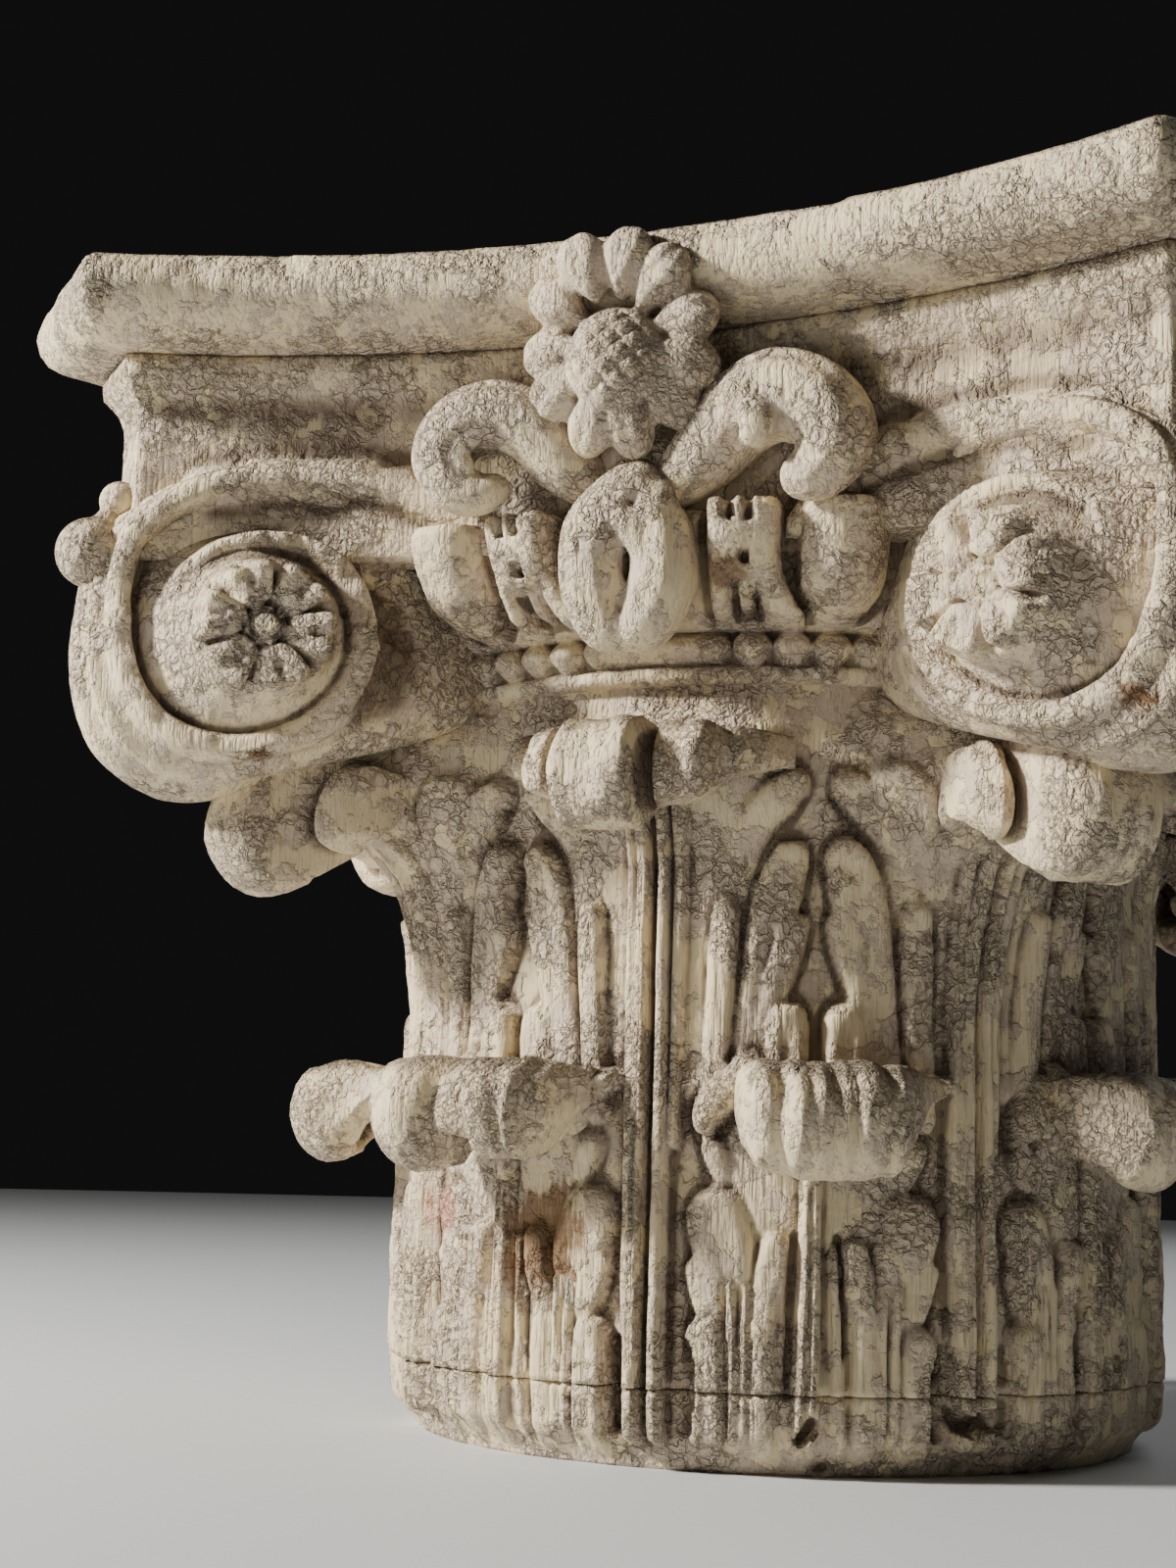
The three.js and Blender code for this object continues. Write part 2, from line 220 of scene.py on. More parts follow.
def neighbour_mean(values, edges, count):
    """Mean over the vertices that share an edge with each vertex."""
    total = np.zeros_like(values)
    for axis in range(values.shape[1]):
        total[:, axis] = (np.bincount(edges[:, 0], values[edges[:, 1], axis], len(values))
                          + np.bincount(edges[:, 1], values[edges[:, 0], axis], len(values)))
    return total / np.maximum(count, 1)[:, None]


def mark_hollows(mesh):
    """Stores how hollow (positive) or proud (negative) the surface is at each vertex, in mm."""
    size = len(mesh.vertices)
    points = points_of(mesh) / MM
    normals = np.empty(size * 3)
    mesh.vertex_normals.foreach_get("vector", normals)
    normals = normals.reshape(-1, 3)
    edges = np.empty(len(mesh.edges) * 2, int)
    mesh.edges.foreach_get("vertices", edges)
    edges = edges.reshape(-1, 2)
    count = np.bincount(edges.ravel(), minlength=size)
    eased = points
    hollow = np.zeros(size)
    for step in range(1, 13):
        eased = neighbour_mean(eased, edges, count)
        if step in (2, 12):
            hollow += np.einsum("ij,ij->i", eased - points, normals)
    hollow = neighbour_mean(hollow[:, None], edges, count)[:, 0]
    layer = mesh.attributes.new("hollow", "FLOAT", "POINT")
    layer.data.foreach_set("value", np.clip(hollow, -2.5, 2.5))


# ------------------------------------------------------------------ carving strokes
NEVER = 1e9                 # a height beyond any carving, so that a stroke leaves it alone


class Carving:
    """Carved relief over a surface laid out flat: distance across and height, in millimetres."""

    def __init__(self, across, z, rise, period=None):
        self.across = across
        self.z = z
        self.rise = rise
        self.period = period

    def _near(self, middle, path, widths):
        """Points near a stroke: their indices, distance over width, and share along the stroke."""
        across = self.across - middle
        if self.period:
            across = (across + self.period / 2) % self.period - self.period / 2
        path = np.array(path, float)
        margin = max(widths) + 4
        low = path.min(axis=0) - margin
        high = path.max(axis=0) + margin
        inside = (across > low[0]) & (across < high[0]) & (self.z > low[1]) & (self.z < high[1])
        index = np.nonzero(inside)[0]
        t = np.linspace(0, 1, 13)[:, None]
        curve = (1 - t) ** 2 * path[0] + 2 * t * (1 - t) * path[1] + t**2 * path[2]
        step = np.diff(curve, axis=0)
        points = np.stack([across[index], self.z[index]], axis=1)[:, None, :] - curve[None, :-1]
        part = np.clip((points * step).sum(axis=2) / (step**2).sum(axis=1), 0, 1)
        share = (np.arange(12) + part) / 12
        width = np.interp(share, [0, 0.3, 1], widths)
        gap = np.linalg.norm(points - part[:, :, None] * step, axis=2) / width
        best = gap.argmin(axis=1)
        row = np.arange(len(index))
        return index, gap[row, best], share[row, best], width[row, best]

    def raised(self, middle, path, widths, rise, power=4.0, root=0.7, moat=1.0, dent=0.0):
        """A tongue, round at its tip, that sinks towards its root, with a cut round the tip."""
        index, gap, share, width = self._near(middle, path, widths)
        if not len(index):
            return
        body = rise * lerp(1, root, smooth(0.3, 1.0, share))
        dome = np.sqrt(np.clip(1 - np.minimum(gap, 1) ** power, 0, 1))
        valley = dent * np.exp(-(gap / 0.35) ** 2) * smooth(0.0, 0.25, share)
        height = np.where(gap < 1, body * dome - valley, -NEVER)
        outside = np.clip(gap - 1, 0, None) * width
        here = self.rise[index]
        cut = moat * np.exp(-(outside / 1.4) ** 2) * (gap >= 1) * smooth(0.9, 0.3, share)
        here = np.where(here < body, here - cut, here)
        self.rise[index] = np.maximum(here, height)

    def sunk(self, middle, path, widths, depth, floor):
        """A hollow gouged along a stroke, down to a depth under its floor, whatever stood there."""
        index, gap, _, _ = self._near(middle, path, widths)
        bowl = np.where(gap < 1, floor - depth * (1 - np.minimum(gap, 1) ** 2), NEVER)
        self.rise[index] = np.minimum(self.rise[index], bowl)

    def scored(self, middle, path, widths, depth):
        """A narrow cut that follows the surface as it is."""
        index, gap, _, _ = self._near(middle, path, widths)
        self.rise[index] -= depth * np.clip(1 - gap, 0, 1)


# Strokes of half a leaf: tip, bend and root as (degrees from the leaf's middle, height), half
# widths at the tip, near it and at the root, rise, and share of the rise left at the root.
LOWER_LEAF = (
    ((13.4, 73.5), (11.8, 62), (9.2, 22), (9.4, 9.6, 6.0), 5.4, 0.75),
    ((15.4, 59.5), (14.0, 51), (11.4, 30), (4.2, 4.8, 3.0), 4.6, 0.8),
    ((14.1, 39), (14.1, 30), (13.6, 6), (6.0, 6.4, 6.0), 6.6, 0.9),
    ((11.2, 55), (10.4, 40), (10.6, 10), (1.2, 1.7, 1.8), 5.6, 1.0),
    ((8.9, 55), (8.8, 40), (9.0, 10), (1.2, 1.8, 1.8), 5.6, 1.0),
    ((5.3, 66), (5.6, 58), (7.4, 42), (4.3, 5.0, 4.4), 6.8, 0.8),
    ((6.6, 50), (6.8, 34), (6.9, 6), (3.2, 3.8, 4.4), 6.2, 1.0),
    ((13.8, 95.5), (13.2, 92), (12.2, 86), (3.8, 4.2, 3.0), 5.0, 0.6),
)
UPPER_LEAF = (
    ((18.9, 183), (16.2, 173), (13.4, 112), (6.2, 8.2, 7.6), 6.4, 0.8),
    ((19.6, 163), (18.2, 155), (15.4, 132), (4.0, 4.9, 3.6), 5.6, 0.7),
    ((18.7, 133), (18.6, 125), (18.2, 100), (6.6, 7.2, 7.0), 6.6, 1.0),
    ((9.6, 166), (9.4, 150), (8.2, 106), (4.4, 5.2, 4.6), 7.0, 0.9),
    ((18.8, 205), (15.8, 200), (9.0, 180), (4.4, 5.8, 5.0), 6.4, 0.4),
)
CORNER_LOBE = ((13.6, 206), (11.5, 197), (8.5, 172), (6.0, 7.4, 5.0), 7.4, 0.5)


def to_mm(degrees, z):
    return degrees * PER_DEGREE, z


def half_leaf(carving, middle, strokes, side, draw):
    """One side of a leaf; draw gives the small differences of hand work."""
    for tip, bend, root, widths, rise, rest in strokes:
        shift = draw.uniform(-0.8, 0.8, 2)
        path = [np.array(to_mm(side * angle, z)) + shift for angle, z in (tip, bend, root)]
        size = draw.uniform(0.94, 1.08)
        carving.raised(middle * PER_DEGREE, path, [w * size for w in widths], rise, 4.5, rest,
                       moat=0.9 * (rise > 4), dent=0.8 * (widths[1] > 6 and rise > 4))


def ridge(carving, degrees, low, high, half_widths, rise, lean):
    """A long upright rib of a stem."""
    path = [(0.0, high), (lean * 0.5, (low + high) / 2), (lean, low)]
    carving.raised(degrees * PER_DEGREE, path, half_widths, rise, 3.5, 1.0, moat=0.8)


def carve_leaves(carving):
    """All strokes of both rows of leaves, from the foot of the base board up."""
    draw = np.random.default_rng(7)
    for leaf in range(8):
        lower = LEAF_PITCH * (leaf + 0.5)
        upper = LEAF_PITCH * leaf
        for side in (-1, 1):
            half_leaf(carving, lower, LOWER_LEAF, side, draw)
            half_leaf(carving, upper, UPPER_LEAF, side, draw)
            if leaf % 2:
                half_leaf(carving, upper, [CORNER_LOBE], side, draw)
            foot = side * 5.2
            deep = 8.0 if side < 0 else 3.0
            carving.sunk(upper * PER_DEGREE, [to_mm(foot, 37), to_mm(foot, 26), to_mm(foot * 0.98, 13)],
                         (2.4, 4.2, 3.6), deep, floor=1.5)
            groove = [to_mm(side * 2.9, 70), to_mm(side * 3.3, 48), to_mm(side * 3.6, 24)]
            carving.sunk(lower * PER_DEGREE, groove, (1.2, 2.0, 1.4), 3.0, floor=2.5)
        ridge(carving, lower - 0.5, -8, 100, (3.4, 3.4, 4.2), 7.4, -1.6)
        carving.scored(lower * PER_DEGREE, [(-1.6, 84), (-1.4, 50), (-3.4, -4)], (0.7, 1.0, 1.8), 2.6)
        ridge(carving, lower + 2.4, -8, 66, (1.4, 1.8, 2.6), 5.6, 3.0)
        ridge(carving, upper - 1.5, 10, 216, (2.5, 2.5, 3.0), 8.2, -0.5)
        ridge(carving, upper + 1.3, 10, 216, (2.2, 2.2, 2.6), 7.8, 0.6)
        ridge(carving, upper - 3.5, 40, 198, (1.6, 2.2, 1.4), 6.0, 1.4)
        ridge(carving, upper + 3.6, 96, 198, (3.0, 2.6, 1.6), 5.6, -1.2)
        carving.scored(upper * PER_DEGREE, [to_mm(-0.1, 220), to_mm(-0.1, 120), to_mm(-0.1, 24)],
                       (1.0, 1.5, 1.7), 6.5)
        carving.scored(upper * PER_DEGREE, [to_mm(-1.7, 190), to_mm(-1.6, 110), to_mm(-1.7, 30)],
                       (0.5, 0.8, 0.7), 1.6)
        # Flaps of the rolled leaf tips that lie back against the bell.
        carving.raised(lower * PER_DEGREE, [to_mm(-14.6, 103), to_mm(-14.2, 110), to_mm(-9, 117)],
                       (4.5, 6.0, 7.0), 11.0, 3.5, 1.0)
        carving.raised(lower * PER_DEGREE, [to_mm(17.4, 115.5), to_mm(13, 113), to_mm(8, 108)],
                       (2.6, 4.6, 7.0), 12.0, 3.0, 1.0)
    # Star-shaped gouges in the foot of the leaf at the front right corner and a hollow beside it,
    # then one more at the front left corner.
    carving.sunk(LEAF_PITCH * PER_DEGREE, [(-9, 21), (-4, 13), (2, 17)], (3, 3.4, 2.6), 6.0, floor=2.0)
    carving.sunk(LEAF_PITCH * PER_DEGREE, [(2, 17), (5, 19), (9, 13)], (2.4, 3.0, 2.4), 5.0, floor=2.0)
    carving.sunk(22.3 * PER_DEGREE, [(0, 16), (-1, 13), (-4, 11)], (2.2, 2.6, 1.4), 4.0, floor=2.5)
    carving.sunk(-45 * PER_DEGREE, [(0, 18), (0, 16), (1, 13)], (2.0, 2.6, 2.0), 4.5, floor=2.0)


def bell_ground(degrees, z):
    """Distance out of the bell between the leaves, with the corner leaves leaning out."""
    out = np.interp(z, [0, 10, 24, 60, 120, 180, 215, 237, BELL_TOP],
                    [121.5, 124.5, 126, 125.5, 124.5, 124, 126, 128, 128])
    to_corner = (degrees % 90) - 45
    lean = np.interp(z, [138, 160, 180, 196, 210, 224, 240], [0, 4, 12, 26, 38, 28, 0])
    out = out + lean * np.exp(-(to_corner / 13.5) ** 2)
    to_side = (degrees + 45) % 90 - 45
    out = out + np.interp(z, [180, 205, 218, 230], [0, 6, 6, 0]) * np.exp(-(to_side / 15) ** 2)
    return out


def leaf_body(degrees, z):
    """The broad low plate of each leaf under its lobes."""
    to_lower = (degrees % LEAF_PITCH) - LEAF_PITCH / 2
    to_upper = (degrees + LEAF_PITCH / 2) % LEAF_PITCH - LEAF_PITCH / 2
    wide = np.interp(z, [0, 30, 56, 72, 92, 112], [16.2, 16, 14.5, 10.5, 14, 17])
    lower = 3.3 * np.exp(-(to_lower / wide) ** 8) * smooth(120, 112, z)
    wide = np.interp(z, [108, 140, 165, 190, 222], [19, 17.5, 16.5, 15.5, 18])
    upper = 3.1 * np.exp(-(to_upper / wide) ** 8) * smooth(104, 116, z) * smooth(236, 220, z)
    return lower + upper


def bell_angle(u):
    """Angle round the bell for the skins, closer together at the front."""
    turn = u - 0.5
    return 10 + 360 * turn - 0.36 * 360 / (2 * math.pi) * np.sin(2 * math.pi * turn)


def bell_points(u, z):
    degrees = bell_angle(u)
    carving = Carving(degrees * PER_DEGREE, z, leaf_body(degrees, z), 360 * PER_DEGREE)
    carve_leaves(carving)
    ground = bell_ground(degrees, z)
    fade = smooth(-1, 13, z) * smooth(BELL_TOP, 236, z)
    points = around(degrees, ground, z)
    rough = 0.35 * ripple(points, 16, 3) + 0.16 * ripple(points, 5, 4)
    return around(degrees, ground + carving.rise * fade + rough, z)


def bell(material):
    def place(u, v):
        return bell_points(u, lerp(BODY_LOW, BELL_TOP, v))
    mesh = skin("bell_and_leaves", 576, 140, place)
    carved("bell_and_leaves", mesh, material)


def base_board(material):
    def place(u, v):
        z = lerp(BASE_LOW, BASE_HIGH, v)
        points = bell_points(u, z)
        # Worn lower edge with a few chips, and a shallow crush along the joint.
        chips = np.clip(ripple(points, 42, 11) - 0.75, 0, 1) * 14 * smooth(7, 0, z)
        joint = 0.9 * smooth(1.6, 0, BASE_HIGH - z) * (1 + ripple(points, 9, 12))
        inward = 1 - (chips + joint) / 126
        return points * np.stack([inward, inward, np.ones_like(z)], axis=-1)
    mesh = skin("base_board_carved", 576, 24, place)
    piece_from("base_board_carved", mesh, "base_board", material)


# ------------------------------------------------------------------ egg band, beads and fillets
BAND_PROFILE = ((127, 236.4), (131.5, 236.5), (133.5, 238.3), (133.5, 240.6), (131.5, 242.2),
                (131.5, 243.4), (133.5, 247), (132.0, 251.6), (137, 252.4), (140, 253.2), (147, 262),
                (153, 273), (156, 282.6), (154.5, 285.4), (138, 286.4))
BAND_PER_DEGREE = math.pi * BAND_RADIUS / 180
EGG_ANGLE = 23.6
DART_ANGLE = 12.7


def carve_eggs(carving, middle, draw):
    """Eggs, forked darts and their drill holes on one side of the ovolo."""
    for side in (-1, 1):
        egg = (middle + side * EGG_ANGLE) * BAND_PER_DEGREE
        wide = draw.uniform(12.4, 13.4)
        carving.raised(egg, [(0, 265.5), (0, 276), (0, 300)], (wide, wide, wide), 17.5, 2.3, 1.0, moat=2.0)
        for place in (DART_ANGLE, 34.6):
            dart = (middle + side * place) * BAND_PER_DEGREE
            bend = side if place > 20 else 1
            carving.raised(dart, [(0, 272), (0, 280), (0, 305)], (10.4, 10.6, 10.8), 14.5, 7, 1.0, moat=1.6)
            carving.raised(dart, [(-7.2, 256), (-7, 264), (-6.6, 276)], (3.4, 3.6, 4.2), 13.5, 3, 1.0)
            carving.raised(dart, [(0.5, 258), (0.3, 264), (0, 272)], (2.8, 3.0, 3.4), 10.0, 3, 1.0)
            fork = [(15 * bend, 253), (7 * bend, 256), (5 * bend, 274)]
            carving.raised(dart, fork, (3.4, 5.0, 5.0), 12.5, 3, 1.0)
            carving.sunk(dart, [(0.4, 268), (0.5, 268.6), (0.4, 269)], (1.5, 1.5, 1.5), 4, floor=11.5)
            for slot in (-3.6, 1.6):
                carving.sunk(dart, [(slot, 280), (slot, 286), (slot, 300)], (1.5, 1.6, 1.6), 4, floor=12.5)


def bead_rise(degrees, z):
    """A long reel at the middle of each side, then a row of round beads."""
    from_middle = np.abs((degrees + 45) % 90 - 45) * math.pi * BEAD_RADIUS / 180
    row = (from_middle - 24.5) % 12.2 - 6.1
    size = np.where(from_middle < 23.6, 5.0, 6.0)
    away = np.where(from_middle < 23.6, np.clip(from_middle - 20, 0, None) * 1.25, np.abs(row))
    across = np.hypot(away, (z - 247.2) * 1.05)
    return np.sqrt(np.clip(size**2 - across**2, 0, None))


def egg_band(material):
    def place(u, v):
        degrees = bell_angle(u)
        out, z = along_line(BAND_PROFILE, v)
        carving = Carving(degrees * BAND_PER_DEGREE, z, np.zeros_like(z), 360 * BAND_PER_DEGREE)
        draw = np.random.default_rng(19)
        for middle in SIDES:
            carve_eggs(carving, middle, draw)
        eggs = carving.rise * smooth(250.5, 254, z) * np.where(v > 0.97, 0.6, 1.0)
        beads = bead_rise(degrees, z) * (z < 253)
        points = around(degrees, out, z)
        rough = 0.4 * ripple(points, 14, 5) + 0.2 * ripple(points, 4, 6)
        return around(degrees, out + eggs + beads + rough, z)
    mesh = skin("egg_band", 520, 78, place)
    carved("egg_band", mesh, material)


# ------------------------------------------------------------------ abacus: fascia and board
CORNER_X = (HORN_REACH - HORN_HALF) / math.sqrt(2)
CORNER_Y = (HORN_REACH + HORN_HALF) / math.sqrt(2)
SAG = CORNER_Y - SIDE_MID
ARC_RADIUS = (CORNER_X**2 + SAG**2) / (2 * SAG)
ARC_CENTRE = SIDE_MID + ARC_RADIUS
SIDE_SHARE = 0.88           # share of the outline's points on the hollow sides, the rest on the horns


def abacus_place(u, growth, z, proud=None):
    """A point of the abacus outline grown by a distance: four hollow sides and four cut horns.

    proud(along, z) may add to the growth, where along runs from the middle of a side."""
    side = np.floor(u * 4 + 0.5).astype(int) % 4
    share = (u * 4 + 0.5) % 1.0 * 2 - 1
    on_side = np.abs(share) < SIDE_SHARE

    def corner(grow):
        reach = HORN_REACH + HORN_SHARE * grow
        radius = ARC_RADIUS - grow
        total = reach * math.sqrt(2) - ARC_CENTRE
        across = (total + np.sqrt(2 * radius**2 - total**2)) / 2
        return radius, np.arcsin(across / radius)

    radius, end = corner(growth)
    angle = end * np.clip(share / SIDE_SHARE, -1, 1)
    along = radius * np.sin(angle)
    if proud is not None:
        growth = growth + proud(along, z)
        radius = ARC_RADIUS - growth
        along = radius * np.sin(angle)
    out = ARC_CENTRE - radius * np.cos(angle)
    # Past the end of a side the outline crosses the horn in a straight cut.
    past = np.where(on_side, 0, (np.abs(share) - SIDE_SHARE) / (1 - SIDE_SHARE))
    half = (out - np.abs(along)) / math.sqrt(2)
    reach = (out + np.abs(along)) / math.sqrt(2)
    step = half * (1 - past)
    along = np.where(on_side, along, np.sign(share) * (reach - step) / math.sqrt(2))
    out = np.where(on_side, out, (reach + step) / math.sqrt(2))
    return beside(side * 90.0, along, out, z)


BOARD_PROFILE = ((-14, 342.3), (0, 342.2), (9.5, 343.2), (15.2, 345.6), (19.4, 348.6), (22.6, 352.6),
                 (24, 357.2), (23.6, 361), (22.4, 364.6), (20.6, 367.4), (17.6, 368.7), (2, 369))
FASCIA_PROFILE = ((-40, 276), (-8, 276.4), (-8, 321.5), (-7.4, 325.5), (-5.6, 329), (-2.6, 332.4),
                  (-0.9, 334.1), (-0.2, 335.6), (-0.1, 337), (0, 340.8), (-0.7, 341.8))


def board(material):
    def place(u, v):
        growth, z = along_line(BOARD_PROFILE, v)
        first = abacus_place(u, growth, z)
        nicks = np.clip(ripple(first, 34, 21) - 0.9, 0, 1) * 9 * smooth(358, 367, z)
        soft = 0.5 * ripple(first, 30, 22) + 0.25 * ripple(first, 8, 23)
        growth = np.clip(growth + (soft - nicks) * smooth(342, 347, z) - 0.6, None, 24)
        return abacus_place(u, growth, np.minimum(z - 0.35 * nicks, TOP))
    mesh = skin("abacus_moulding", 640, 30, place)
    piece_from("abacus_moulding", mesh, "abacus_board", material)


def fascia(material):
    """The hollow-sided block under the board, with the scroll bands that run in along it."""
    def straps(along, z):
        carving = Carving(np.abs(along), z, np.zeros_like(z))
        carving.raised(0, [(50, 279), (72, 314), (142, 300)], (4.2, 5.6, 5.6), 5.0, 6, 1.0, moat=0.6)
        # A drying crack in the upper edge, left of the middle.
        split = np.exp(-((along + 90 + 0.8 * np.sin(z)) / 0.8) ** 2) * smooth(331, 335, z)
        return carving.rise - 2.2 * split

    def place(u, v):
        growth, z = along_line(FASCIA_PROFILE, v)
        first = abacus_place(u, growth, z)
        rough = 0.4 * ripple(first, 26, 31) + 0.22 * ripple(first, 7, 32)
        return abacus_place(u, growth + rough * smooth(276, 279, z), z, straps)
    mesh = skin("fascia", 640, 38, place)
    carved("fascia", mesh, material)


# ------------------------------------------------------------------ corner scrolls
SPIRAL = ((-90, 78), (-45, 62), (-20, 57.5), (0, 55.5), (30, 54.8), (48, 53.6), (64, 49), (82, 45),
          (102, 43.6), (135, 42.8), (160, 41), (180, 39.6), (205, 38.6), (270, 38.2), (318, 37.6),
          (345, 35.6), (373, 33.6), (450, 29), (540, 25), (630, 22.5), (720, 20.5))
# How far the edge band swells out past the rims, by angle from the top.
EDGE_SWELL = ((0, 1), (40, 3), (70, 6), (90, 8), (130, 13), (160, 12), (180, 9), (230, 4), (280, 1),
              (360, 0))
# Share of the skin from the middle of the edge band to the rim; the rest of each half is a face.
EDGE_SHARE = 0.24
ROSETTE_LIFT = 1.7
PETAL_REACH = 13.0
BUTTON_RADIUS = 6.4
NOTHING = -60.0             # lower than any carved height, so that it never shows


def spiral(psi):
    """Radius of the coiled band's outer edge after turning psi degrees from the top."""
    return read_off(SPIRAL, psi)


def scroll_outline(angle):
    """The rim seen from the side: the outer turn, closing onto the next one near the top."""
    return lerp(spiral(angle), spiral(angle - 360), smooth(290, 352, angle))


def rosette(angle, r):
    """Six worn petals round a ringed button, standing on the drum."""
    height = np.full_like(r, NOTHING)
    for petal in range(6):
        toward = np.radians(angle - 60 * petal - 20)
        out = r * np.cos(toward) - PETAL_REACH
        wide = np.abs(r * np.sin(toward)) / np.clip(6.9 + 0.3 * out, 3, 9)
        away = np.clip(wide**5 + np.abs(out / 7.0) ** 5, 0, 1)
        top = 13.8 + 5.4 * (1 - away**3) + 0.16 * out - 1.6 * np.exp(-(wide / 0.22) ** 2) * (out > 0)
        height = np.maximum(height, np.where(away < 1, top, NOTHING))
    ring = 3.0 * np.exp(-((r - 4.4) / 0.8) ** 2)
    button = 15.5 + 4.0 * (1 - np.minimum(r, BUTTON_RADIUS) ** 8 / BUTTON_RADIUS**8) - ring
    return np.where(r < BUTTON_RADIUS, button, height)


def scroll_face(angle, r):
    """Height of the coiled band over the plane of its rim: rim, cove, then a cone up to the drum."""
    outer, inner = spiral(angle), spiral(angle + 360)
    turn = np.where(r > outer, -1, np.where(r > inner, 0, 1))
    psi = angle + 360 * turn
    gap = spiral(psi) - r
    rim_width = np.interp(psi, [-90, 300, 420], [8.2, 8.2, 5.0])
    rim = np.interp(psi, [-90, 60, 180, 270, 360, 430, 520, 720],
                    [0, 0, 1.5, 4.5, 5.5, 1.5, -6, -12])
    floor = np.interp(psi, [-90, 0, 90, 180, 270, 360, 450, 720],
                      [-3, -8, -12, -11, -5, 1, -6, -12])
    crown = 0.8 * np.clip((gap / rim_width - 0.5) * 2, -1, 1) ** 2
    height = lerp(rim - crown, floor, smooth(rim_width - 1.0, rim_width + 3.5, gap))
    before = np.interp(psi, [270, 360, 450, 540, 630, 720], [-3, -8, -12, -11, -4, 3])
    height = lerp(before, height, np.where(psi > 268, smooth(-0.6, 1.8, gap), 1.0))
    cone = np.interp(r, [21.5, 22.6, 24.5, 30, 36, 42], [15.5, 9.0, 5.5, -2, -8, -13])
    return np.maximum(np.maximum(height, cone), rosette(angle, r) + ROSETTE_LIFT)


def scroll(name, corner, material):
    def place(u, v):
        angle = 360 * u
        face = np.abs(v - 0.5) * 2          # 1 at the middle of a face, small on the edge band
        near = v < 0.5
        edge = scroll_outline(angle)
        on_face = face > EDGE_SHARE
        r = np.where(on_face, edge * np.clip((1 - face) / (1 - EDGE_SHARE), 0, 1), edge)
        share = np.clip(face / EDGE_SHARE, 0, 1)  # 0 in the middle of the edge band, 1 at the rim
        turned = np.radians(angle)
        narrow = np.where(np.sin(turned) > 0, 0.93, 1.0)
        rim_out = EYE_REACH + r * np.sin(turned) * narrow
        z = EYE_Z + r * np.cos(turned)
        half = SCROLL_EDGE + (HORN_REACH - rim_out) * SCROLL_SLOPE
        relief = np.where(on_face, scroll_face(angle, r), 0)
        thick = half + relief - 1.6 * smooth(2.2, 0, edge - r) * on_face
        # The edge swells between the faces and is fluted, and its inner side runs back into the bell.
        swell = read_off(EDGE_SWELL, angle)
        flutes = 2.4 * np.exp(-((share - 0.84) / 0.1) ** 2) + 1.8 * np.exp(-((share - 0.48) / 0.12) ** 2)
        outward = swell * (1 - share**2.2) - flutes - 0.6 * np.exp(-(share / 0.08) ** 2)
        back = 46 * smooth(190, 250, angle) * smooth(1.0, 0.72, share) * ~on_face
        outward = np.where(on_face, 0, outward * smooth(290, 230, angle))
        rim_out = rim_out + outward * np.sin(turned) - back
        z = z + outward * np.cos(turned)
        tangent = np.where(on_face, thick, (half - 1.6) * share) * np.where(near, -1, 1)
        points = beside(corner, tangent, rim_out, z)
        wobble = 0.45 * ripple(points, 13, 41) + 0.25 * ripple(points, 5, 42)
        return beside(corner, tangent + wobble * np.where(near, -1, 1), rim_out, z)
    mesh = skin(name, 176, 108, place)
    carved(name, mesh, material)


# ------------------------------------------------------------------ rolled leaf tips
def folds(degrees, cuts):
    """Grooves down a leaf: cuts are (degrees, depth, width)."""
    return sum(-depth * np.exp(-((degrees - at) / width) ** 2) for at, depth, width in cuts)


def rolled_tip(name, middle, profile, root, reach, cuts, hang, material, around_steps=52, across_steps=78):
    """A leaf tip that rolls over: a thick hooked section swept round the bell.

    reach gives (degrees, share of the section kept), hang (degrees, lowest height it hangs to)
    and cuts (degrees, depth, width) its folds."""
    low, high = reach[0][0], reach[-1][0]
    top = max(z for _, z in profile)

    def place(u, v):
        degrees = lerp(low, high, 0.5 - 0.5 * np.cos(math.pi * v))
        out, z = closed_curve(profile, u)
        keep = read_off(reach, degrees)
        ends = smooth(0, 0.04, v) * smooth(1, 0.96, v)
        out = root[0] + (out - root[0]) * keep * (0.25 + 0.75 * ends)
        z = root[1] + (z - root[1]) * lerp(keep, 1, 0.5 * (z > root[1])) * (0.2 + 0.8 * ends)
        lowest = read_off(hang, degrees)
        z = np.where(z < lowest, lowest - (lowest - z) * 0.12, z)
        swell = smooth(root[0] + 4, root[0] + 18, out)
        points = around(middle + degrees, out, z)
        wobble = 0.9 * ripple(points, 21, 51) + 0.4 * ripple(points, 7, 52)
        crease = folds(degrees, cuts)
        out = out + swell * crease + wobble * smooth(0, 0.1, ends)
        z = z + swell * crease * 0.35 * smooth(root[1], top, z) + 0.6 * wobble
        return around(middle + degrees, out, z)
    mesh = skin(name, around_steps, across_steps, place)
    carved(name, mesh, material)


LOWER_TIP = ((130, 117), (141, 120.5), (155, 121), (165.5, 115), (169.5, 104.5), (166.5, 93.5),
             (158.5, 87), (150.5, 88.5), (149.8, 93), (156.5, 96.5), (159.8, 103), (156, 110),
             (147, 111.5), (137, 106), (130, 96), (124, 92), (122, 104))
FACE_TIP = ((130, 219), (142, 222), (156, 222.5), (166.5, 217), (171, 206), (168, 195), (160, 188),
            (151, 189.5), (150.5, 194), (157, 197), (160.5, 204), (157, 211.5), (147.5, 213.5),
            (137, 208), (130, 197), (122, 193), (121, 206))
CORNER_TIP = ((150, 212), (166, 219), (184, 219), (199, 211), (206.5, 196), (203, 181), (191, 173),
              (178, 176), (175, 184), (183, 188.5), (189, 195.5), (185.5, 204), (175, 206), (163, 200),
              (150, 188), (140, 184), (140, 200))
